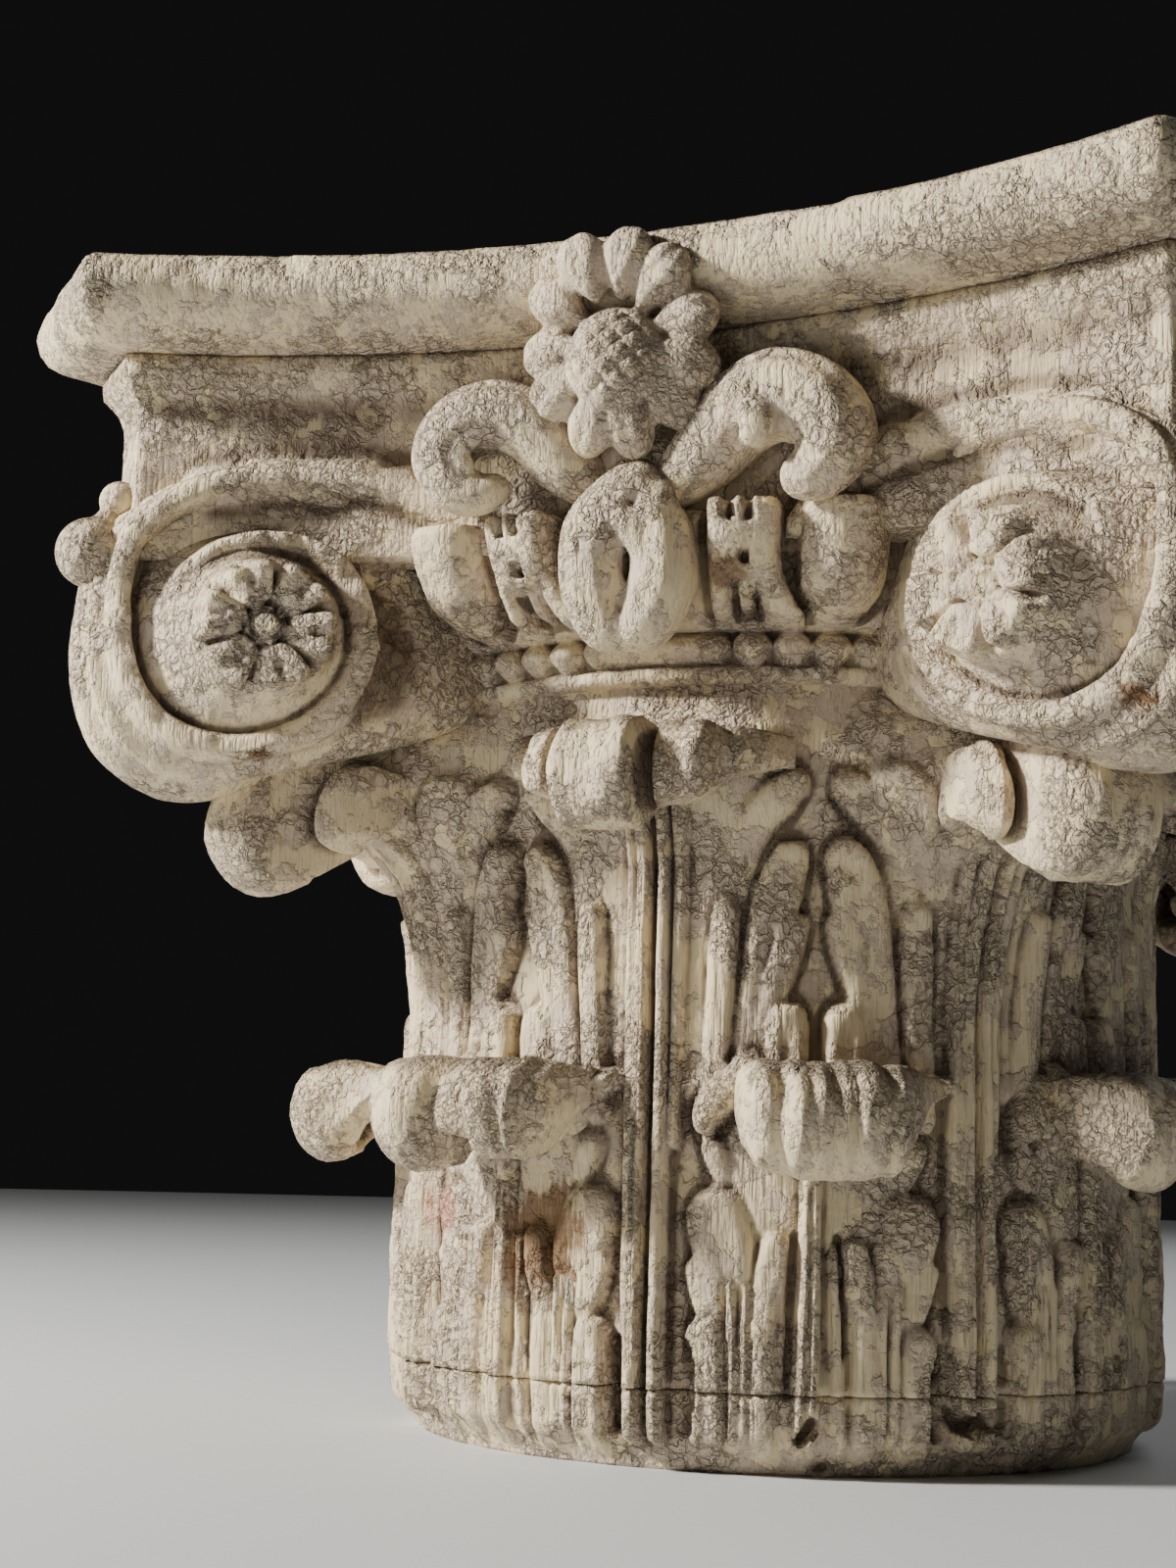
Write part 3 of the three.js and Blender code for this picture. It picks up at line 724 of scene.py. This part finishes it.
LOWER_FORMS = {
    "ball": (((-12, 0.35), (-10.6, 0.72), (-8.5, 0.98), (-4, 1.04), (-1.4, 0.98), (0.2, 0.86),
              (4, 0.86), (5.5, 0.93), (10, 0.86), (13, 0.56), (15.4, 0.25)),
             ((-0.6, 3.6, 0.9), (4.6, 3.0, 0.8), (8.4, 1.8, 0.7), (11.4, 2.0, 0.8)),
             ((-12, 96), (-10, 80), (-2, 80), (-0.6, 92), (0.4, 98), (4, 97), (5.6, 90), (10, 90),
              (13, 102), (16, 110))),
    "folded": (((-10.5, 0.3), (-9.4, 0.6), (-7.4, 0.88), (-3, 0.98), (3, 1.0), (7.5, 0.92),
                (10, 0.66), (12.5, 0.42), (16.5, 0.2)),
               ((-5.0, 2.6, 0.8), (-2.2, 1.4, 0.5), (0.4, 2.0, 0.6), (2.4, 2.0, 0.5), (6.2, 2.8, 0.8)),
               ((-10, 98), (-8.5, 88), (-4, 84), (6, 84), (8.5, 92), (10, 100), (13, 110), (17, 113))),
}


def lower_tips(material):
    draw = np.random.default_rng(61)
    for leaf in range(8):
        middle = LEAF_PITCH * (leaf + 0.5)
        form = "folded" if leaf % 2 == 0 else "ball"
        reach, cuts, hang = LOWER_FORMS[form]
        reach = [(at, share * draw.uniform(0.97, 1.02)) for at, share in reach]
        cuts = [(at + draw.uniform(-0.4, 0.4), depth, width) for at, depth, width in cuts]
        rolled_tip(f"lower_leaf_tip_{leaf + 1}", middle, LOWER_TIP, (128, 112), reach, cuts, hang, material)


def face_tips(material):
    reach = ((-21, 0.2), (-18.4, 0.46), (-15.5, 0.6), (-13, 0.5), (-12.2, 0.78), (-9, 0.82), (-8.1, 0.7),
             (-7.4, 0.97), (-2, 1.0), (1.6, 0.97), (2.3, 0.66), (3.4, 0.8), (8, 0.82), (11, 0.6),
             (15, 0.42), (19, 0.2))
    cuts = ((-12.6, 3.0, 0.5), (-8.2, 5.0, 0.6), (-5, 0.8, 0.5), (2.3, 6.0, 0.6), (6.0, 2.2, 0.7),
            (10.6, 3.0, 0.8))
    hang = ((-21, 210), (-13, 206), (-12, 201), (-8.4, 199), (-7.8, 184), (1.8, 184), (2.6, 195), (8, 199),
            (11, 206), (19, 210))
    for side, middle in enumerate(SIDES):
        rolled_tip(f"face_leaf_tip_{side + 1}", middle, FACE_TIP, (128, 215), reach, cuts, hang,
                   material, 56, 112)


def corner_tips(material):
    half = ((0, 1.02), (3.2, 1.0), (4.8, 0.9), (5.4, 0.46), (5.9, 0.52), (7.2, 0.56), (8.6, 0.44),
            (9.4, 0.22))
    reach = [(-at, share) for at, share in half[:0:-1]] + list(half)
    cuts = ((-5.4, 4.0, 0.4), (-3.2, 1.0, 0.4), (0.6, 1.2, 0.4), (2.8, 1.0, 0.4), (5.4, 4.0, 0.4))
    hang = ((-9.4, 194), (-5.6, 184), (-5.0, 170), (5.0, 170), (5.6, 184), (9.4, 194))
    for number, middle in enumerate(DIAGONALS):
        rolled_tip(f"corner_leaf_tip_{number + 1}", middle, CORNER_TIP, (150, 200), reach, cuts, hang,
                   material, 58, 120)


# ------------------------------------------------------------------ tubes: side curls, husk
def tube(name, path, radii, flutes=0.0, flat=1.0):
    """A tapered stem along points (x, outward, z), with flutes along it; both ends close."""
    path = np.array(path, float)
    marks = np.linspace(0, 1, len(path))

    def centre(share):
        count = len(path) - 1
        place = np.clip(share, 0, 1) * count
        first = np.clip(np.floor(place).astype(int), 0, count - 1)
        t = (place - first)[:, None]
        return curve_through(*(path[np.clip(first + k, 0, count)] for k in (-1, 0, 1, 2)), t)

    def place(u, v):
        here = centre(v)
        way = centre(v + 0.01) - centre(v - 0.01)
        way /= np.linalg.norm(way, axis=1)[:, None]
        out = np.array([0.0, 1.0, 0.0]) - way * way[:, 1:2]
        out /= np.linalg.norm(out, axis=1)[:, None] + 1e-9
        across = np.cross(way, out)
        turn = 2 * math.pi * u
        radius = np.interp(v, marks, radii) * np.sqrt(np.clip(1 - (2 * np.abs(v - 0.5)) ** 14, 0, 1))
        front = np.abs((u + 0.5) % 1.0 - 0.5) * 360
        grooves = sum(np.exp(-((front - at) / 9) ** 2) for at in (0, 42, 88))
        radius = radius * (1 - flutes * grooves * smooth(0.1, 0.3, v))
        forward = (np.cos(turn) * radius * flat)[:, None] * out
        points = here + forward + (np.sin(turn) * radius)[:, None] * across
        return np.stack([points[:, 0], -points[:, 1], points[:, 2]], axis=-1)
    return skin(name, 32, 54, place)


def ball(name, centre, radii):
    """A closed rounded lump at (x, outward, z)."""
    bm = bmesh.new()
    bmesh.ops.create_icosphere(bm, subdivisions=4, radius=1)
    bmesh.ops.scale(bm, verts=bm.verts, vec=[size * MM for size in radii])
    bmesh.ops.translate(bm, verts=bm.verts, vec=Vector((centre[0], -centre[1], centre[2])) * MM)
    mesh = bpy.data.meshes.new(name)
    bm.to_mesh(mesh)
    bm.free()
    return mesh


def turned_to(mesh, degrees):
    """Turns a mesh made on the front face to another face or corner."""
    mesh.transform(Matrix.Rotation(math.radians(degrees), 4, "Z"))
    return mesh


def repeated(name, angles, lumps, voxel, material):
    """Lumps made on the front face, melted into one piece for each face or corner."""
    for number, angle in enumerate(angles):
        mesh = fused(f"{name}_{number + 1}", lumps, voxel, 1)
        carved(f"{name}_{number + 1}", turned_to(mesh, angle), material)


def husks(material):
    """The split husk under each flower, at the middle of the egg band."""
    left = tube("husk_left", [(2, 158, 249), (-6, 160, 250), (-10, 162, 262), (-8.5, 163, 278),
                              (2, 162, 290), (11, 163, 294)], (7, 9, 10.5, 11, 9.5, 4.6), 0.1)
    right = tube("husk_right", [(-2, 158, 249), (6, 160, 250), (12, 162, 261), (11.5, 162, 274),
                                (9.5, 162, 285), (14, 160, 292)], (7, 9, 10.5, 10, 8, 4.4), 0.08)
    bud = tube("husk_bud", [(10, 164, 266), (5, 168, 276), (-2, 169, 282)], (5, 5, 3.4))
    back = ball("husk_back", (0, 148, 270), (18, 9, 25))
    stem = ball("husk_stem", (0, 148, 300), (19, 13, 18))
    repeated("husk", SIDES, [left, right, bud, back, stem], 1.35, material)


def side_curls(material):
    """The hooked leaves that spring from under each flower to both sides."""
    left = tube("curl_left", [(-8, 152, 292), (-20, 158, 300), (-31, 163, 312), (-43, 166, 316),
                              (-54, 168, 312), (-59, 168, 303), (-54, 167, 294), (-45, 166, 292),
                              (-38, 165, 296)], (7, 10, 11.5, 11.5, 10.5, 9.5, 8.5, 6.5, 4), 0.1, 1.1)
    lip = tube("curl_left_lip", [(-34, 166, 308), (-43, 172, 310), (-50, 174, 304), (-47, 172, 297)],
               (2.5, 3.2, 3.2, 2))
    right = tube("curl_right", [(6, 152, 290), (22, 157, 300), (35, 161, 311), (48, 165, 315),
                                (61, 166, 310), (66, 166, 300), (59, 165, 291),
                                (49, 165, 289)], (7, 11, 13, 14, 13.5, 12, 9.5, 5), 0.1, 1.05)
    tongue = tube("curl_right_tongue", [(30, 165, 312), (39, 173, 313), (45, 175, 305), (42, 174, 297)],
                  (4, 6, 6, 3.6))
    repeated("side_curls", SIDES, [left, lip, right, tongue], 1.3, material)


def berries(material):
    """Two berries and their link on the outer edge of each pair of scrolls."""
    beads = [ball("berry_top", (0, 243, 297), (6.8, 6.8, 6.8)),
             ball("berry_link", (0, 247, 288.5), (5.2, 5.2, 5.2)),
             ball("berry_low", (0, 251.5, 279), (11.5, 11.5, 11.5))]
    repeated("berries", DIAGONALS, beads, 1.2, material)


# ------------------------------------------------------------------ flowers
FLOWER_NODES = ("flower_front", "flower_right", "flower_back", "flower_left")


def petal(name, toward, middle, away, wide, long, out, tilt):
    """A plump petal, narrow at its root, creased down its middle, leaning by tilt."""
    mesh = ball(name, (0, 0, 0), (wide, 7.5, long))
    points = points_of(mesh) / MM
    length = points[:, 2] / long
    points[:, 0] *= lerp(0.5, 1.06, smooth(-1.0, 0.4, length))
    crease = 1.8 * np.exp(-(points[:, 0] / 1.7) ** 2)
    points[:, 1] += crease * (points[:, 1] < 0) * smooth(-0.9, 0.6, length)
    points[:, 1] -= tilt * length
    points[:, 2] += away
    turn = math.radians(toward)
    x = points[:, 2] * math.sin(turn) + points[:, 0] * math.cos(turn)
    z = points[:, 2] * math.cos(turn) - points[:, 0] * math.sin(turn) + middle
    placed = np.stack([x, points[:, 1] - out, z], axis=-1) * MM
    mesh.vertices.foreach_set("co", placed.ravel())
    return mesh


def hatched(mesh, middle):
    """Cuts a lattice into the button of a flower."""
    points = points_of(mesh) / MM
    x, z = points[:, 0], points[:, 2] - middle
    cut = np.zeros(len(points))
    for turn in (38, 128):
        across = x * math.cos(math.radians(turn)) + z * math.sin(math.radians(turn))
        cut = np.maximum(cut, np.exp(-(((across + 2.9) % 5.8 - 2.9) / 0.85) ** 2))
    on_button = smooth(15, 12.5, np.hypot(x, z)) * (points[:, 1] < -176)
    points[:, 1] += 1.5 * cut * on_button
    mesh.vertices.foreach_set("co", (points * MM).ravel())


def flowers(material):
    draw = np.random.default_rng(77)
    for number, node in enumerate(FLOWER_NODES):
        low, high = height_range(node)
        middle = (low + high) / 2 + 1.5
        button = middle - 6
        parts = [ball("flower_back", (0, 160, middle - 2), (22, 12, 24)),
                 ball("flower_button", (0, 174, button), (15.6, 11, 16))]
        for number_of_petal in range(11):
            toward = 360 / 11 * number_of_petal + 8 + draw.uniform(-4, 4)
            upper = math.cos(math.radians(toward))
            wide = draw.uniform(7.2, 8.6)
            away = 21.5 * (1 + 0.1 * abs(upper)) * draw.uniform(0.96, 1.04)
            out = 170 + 8 * max(upper, 0) + draw.uniform(-1.5, 1.5)
            tilt = draw.uniform(-1, 2) - 4 * max(-upper, 0)
            parts.append(petal("petal", toward, middle, away, wide, 11.5, out, tilt))
        mesh = fused(f"{node}_carved", parts, 1.15, 1)
        hatched(mesh, button)
        piece_from(f"{node}_carved", turned_to(mesh, SIDES[number]), node, material)


# ------------------------------------------------------------------ materials
class Value:
    """A number or colour wired between shader nodes, used in ordinary sums."""

    def __init__(self, finish, socket):
        self.finish = finish
        self.socket = socket

    def _math(self, operation, *others):
        inputs = {place: other for place, other in enumerate(others)}
        return self.finish.add("ShaderNodeMath", {"operation": operation}, inputs)

    def __add__(self, other):
        return self._math("ADD", self, other)

    __radd__ = __add__

    def __mul__(self, other):
        return self._math("MULTIPLY", self, other)

    def __sub__(self, other):
        return self._math("SUBTRACT", self, other)

    def __rsub__(self, other):
        return self._math("SUBTRACT", other, self)

    def step(self, low, high):
        """0 below low, 1 above high, and smooth between them."""
        return self.finish.add("ShaderNodeMapRange", {"interpolation_type": "SMOOTHSTEP"},
                               {"Value": self, "From Min": low, "From Max": high})

    def most(self, other):
        return self._math("MAXIMUM", self, other)


class Finish:
    """A material under construction."""

    def __init__(self, name):
        self.material = bpy.data.materials.new(name)
        self.material.use_nodes = True
        self.tree = self.material.node_tree
        self.shader = self.tree.nodes["Principled BSDF"]
        coordinates = self.tree.nodes.new("ShaderNodeTexCoord")
        self.place = Value(self, coordinates.outputs["Object"])

    def add(self, kind, settings, inputs, output=0):
        """Adds a node of a kind, with its settings first and then the values or links of its sockets."""
        node = self.tree.nodes.new(kind)
        for setting, value in settings.items():
            setattr(node, setting, value)
        for socket, value in inputs.items():
            if isinstance(value, Value):
                self.tree.links.new(value.socket, node.inputs[socket])
            else:
                node.inputs[socket].default_value = value
        return Value(self, node.outputs[output])

    def noise(self, size, detail=3.0, at=None, rough=0.5):
        """Soft unevenness from 0 to 1 with lumps of a size in millimetres."""
        return self.add("ShaderNodeTexNoise", {}, {"Vector": at or self.place, "Scale": 1 / (size * MM),
                                                   "Detail": detail, "Roughness": rough})

    def mix(self, share, first, second):
        """A blend of two colours; share may be a number or a value over the surface."""
        node = self.tree.nodes.new("ShaderNodeMix")
        node.data_type = "RGBA"
        for socket, value in (("Factor", share), ("A", first), ("B", second)):
            slot = [s for s in node.inputs if s.name == socket and s.enabled][0]
            if isinstance(value, Value):
                self.tree.links.new(value.socket, slot)
            else:
                slot.default_value = value if isinstance(value, float) else (*value, 1)
        return Value(self, [s for s in node.outputs if s.enabled][0])

    def shifted(self, amount, size):
        """The place on the object, pushed about so that straight lines turn ragged."""
        waves = {"Vector": self.place, "Scale": 1 / (size * MM)}
        wander = self.add("ShaderNodeTexNoise", {}, waves, "Color")
        return self.add("ShaderNodeVectorMath", {"operation": "MULTIPLY_ADD"},
                        {0: wander, 1: (amount * MM,) * 3, 2: self.place})

    def near(self, place, size):
        """1 at a place given in millimetres, falling to 0 at a distance."""
        away = self.add("ShaderNodeVectorMath", {"operation": "DISTANCE"},
                        {0: self.place, 1: [value * MM for value in place]}, "Value")
        return 1 - away * (1 / (size * MM))

    def cells(self, size, at, feature, output=0):
        """A pattern of cells of a size in millimetres, like the scales of dried paint."""
        return self.add("ShaderNodeTexVoronoi", {"feature": feature},
                        {"Vector": at, "Scale": 1 / (size * MM)}, output)


CREAM = (0.80, 0.67, 0.43)
TAUPE = (0.62, 0.505, 0.385)
PALE = (0.78, 0.70, 0.57)
# Dark brown for cracks and for the hollows, where it stands for dirt and painted shade.
DIRT_AND_SHADE = (0.12, 0.08, 0.05)
DUST = (0.17, 0.135, 0.10)
WOOD = (0.20, 0.095, 0.03)
BLUE_GREY = (0.22, 0.25, 0.28)
RED = (0.52, 0.16, 0.10)


def old_paint(name, cream_share, cell_size, stains=()):
    """Flaking oil paint on wood: cream under a cracked grey-pink coat, darkened in the hollows by dirt and
    painted shade.
    """
    finish = Finish(name)
    ragged = finish.shifted(cell_size * 1.3, cell_size * 0.9)
    edge = finish.cells(cell_size, ragged, "DISTANCE_TO_EDGE")
    tint = finish.cells(cell_size, ragged, "F1", "Color")
    less_ragged = finish.shifted(cell_size * 0.6, cell_size * 0.5)
    fine = finish.cells(cell_size * 0.5, less_ragged, "DISTANCE_TO_EDGE")
    hollow = finish.add("ShaderNodeAttribute", {"attribute_name": "hollow"}, {}, "Fac")
    normal = finish.add("ShaderNodeNewGeometry", {}, {}, "Normal")
    upward = finish.add("ShaderNodeSeparateXYZ", {}, {"Vector": normal}, "Z")
    broad = finish.noise(34, 4, rough=0.6)
    patchy = finish.noise(11, 5, rough=0.65)
    grain = finish.noise(2.2, 4)
    drawn = finish.add("ShaderNodeMapping", {}, {"Vector": finish.place, "Scale": (1, 1, 0.09)})
    streak = finish.noise(1.5, 3, drawn)

    coat = (patchy * 0.55 + broad * 0.45 + tint * 0.05).step(cream_share - 0.02, cream_share + 0.02)
    worn = (0.0 - hollow).step(0.15, 0.9) * grain.step(0.42, 0.62)
    coat = coat * (1 - worn * 0.8)
    paint = finish.mix(coat, CREAM, TAUPE)
    paint = finish.mix(grain.step(0.45, 0.75) * 0.4, paint, PALE)
    paint = finish.mix((1 - streak.step(0.3, 0.5)) * 0.35, paint, TAUPE)
    cracked = broad.step(0.47, 0.57)
    crack = (1 - edge.step(0.01, 0.04)) * cracked
    split = (1 - streak.step(0.27, 0.33)) * (1 - coat) * 0.6
    # Painted shade: the hollows are darkened with the dark brown colour, partly as dirt and partly as the
    # shade that falls in recesses; cracks add real dark lines.
    hollow_dirt_and_shade = hollow.step(0.3, 1.7)
    dirt_and_painted_shade = (hollow_dirt_and_shade * (0.5 + patchy * 0.6)).most(crack * 0.4).most(split * 0.7)
    colour = finish.mix(dirt_and_painted_shade, paint, DIRT_AND_SHADE)
    dust = upward.step(0.55, 0.95) * patchy.step(0.2, 0.5) * 0.85
    colour = finish.mix(dust, colour, DUST)
    for place, size, tone, strength in stains:
        spot = finish.near(place, size) + patchy * 1.1 + streak * 0.7
        colour = finish.mix(spot.step(1.22, 1.5) * strength, colour, tone)

    curled = edge.step(0.0, 0.05) * 1.2 - edge.step(0.06, 0.3) * 0.6
    wrinkled = fine.step(0.0, 0.1) - fine.step(0.1, 0.4) * 0.5
    height = (curled * (0.08 + cracked * 1.3) + wrinkled * cracked * 0.15) * (0.3 + coat * 0.7)
    height = height + coat * 0.5 + grain * 0.3 + streak.step(0.2, 0.6) * 0.4
    bump = finish.add("ShaderNodeBump", {}, {"Strength": 1.0, "Distance": 1.2 * MM, "Height": height})
    roughness = 0.62 + dirt_and_painted_shade * 0.25
    for socket, value in (("Base Color", colour), ("Roughness", roughness), ("Normal", bump)):
        finish.tree.links.new(value.socket, finish.shader.inputs[socket])
    finish.shader.inputs["Specular IOR Level"].default_value = 0.35
    return finish.material


# ------------------------------------------------------------------ stage, light and camera
def area_light(name, place, aim, width, power, colour=(1, 1, 1)):
    lamp = bpy.data.lights.new(name, "AREA")
    lamp.shape = "DISK"
    lamp.size = width
    lamp.energy = power
    lamp.color = colour
    light = bpy.data.objects.new(name, lamp)
    light.location = place
    light.rotation_euler = (Vector(aim) - Vector(place)).to_track_quat("-Z", "Y").to_euler()
    bpy.context.scene.collection.objects.link(light)


def studio():
    middle = (0, 0, 0.2)
    area_light("key", (-1.38, -0.85, 0.95), middle, 0.24, 78, (1, 0.945, 0.86))
    area_light("fill", (0.7, -1.8, 0.6), middle, 1.6, 0.6, (0.95, 0.97, 1))
    area_light("back", (0.6, 1.6, 1.2), middle, 1.4, 9)
    world = bpy.data.worlds.new("studio")
    world.use_nodes = True
    world.node_tree.nodes["Background"].inputs["Color"].default_value = (0.007, 0.007, 0.0075, 1)
    bpy.context.scene.world = world

    bm = bmesh.new()
    bmesh.ops.create_circle(bm, cap_ends=True, segments=128, radius=3.0)
    mesh = bpy.data.meshes.new("floor")
    bm.to_mesh(mesh)
    bm.free()
    floor = bpy.data.objects.new("floor", mesh)
    bpy.context.scene.collection.objects.link(floor)
    pale = bpy.data.materials.new("pale_floor")
    pale.use_nodes = True
    pale.node_tree.nodes["Principled BSDF"].inputs["Base Color"].default_value = (0.62, 0.65, 0.68, 1)
    pale.node_tree.nodes["Principled BSDF"].inputs["Roughness"].default_value = 0.6
    mesh.materials.append(pale)


def camera():
    """A low three-quarter view of the front, close in, turned a little upwards."""
    lens = bpy.data.cameras.new("camera")
    lens.lens = 54.92
    lens.sensor_width = 36
    lens.shift_x = 0.0096
    lens.shift_y = -0.0046
    viewer = bpy.data.objects.new("camera", lens)
    right = Vector((0.92973, 0.36724, 0.02725))
    up = Vector((0.03017, -0.14972, 0.98827))
    away = right.cross(up)
    turn = Matrix((right, up, away)).transposed().to_4x4()
    viewer.matrix_world = Matrix.Translation((0.24694, -0.81715, 0.09625)) @ turn
    bpy.context.scene.collection.objects.link(viewer)
    bpy.context.scene.camera = viewer


# ------------------------------------------------------------------ the capital
camera()
studio()
# Bare wood and old colour: place, size, colour and strength.
STAINS = (
    (around(-16, 134, 66), 30, WOOD, 0.85),
    (around(-12, 134, 50), 10, BLUE_GREY, 0.5),
    (around(-39, 134, 74), 17, RED, 0.6),
    (beside(-45, 36, 204, 206), 15, WOOD, 0.95),
    (beside(45, -20, 237, 216), 11, WOOD, 0.9),
    (around(11, 160, 266), 12, WOOD, 0.7),
)
carving_paint = old_paint("cracked_paint_on_carving", 0.5, 4.6, STAINS)
board_paint = old_paint("flaking_paint_on_board", 0.51, 4.8)
flower_paint = old_paint("worn_paint_on_flowers", 0.46, 2.8)

bell(carving_paint)
base_board(carving_paint)
egg_band(carving_paint)
fascia(carving_paint)
board(board_paint)
for number, corner in enumerate(DIAGONALS):
    scroll(f"scroll_{number + 1}", corner, carving_paint)
lower_tips(carving_paint)
face_tips(carving_paint)
corner_tips(carving_paint)
husks(carving_paint)
side_curls(carving_paint)
berries(carving_paint)
flowers(flower_paint)
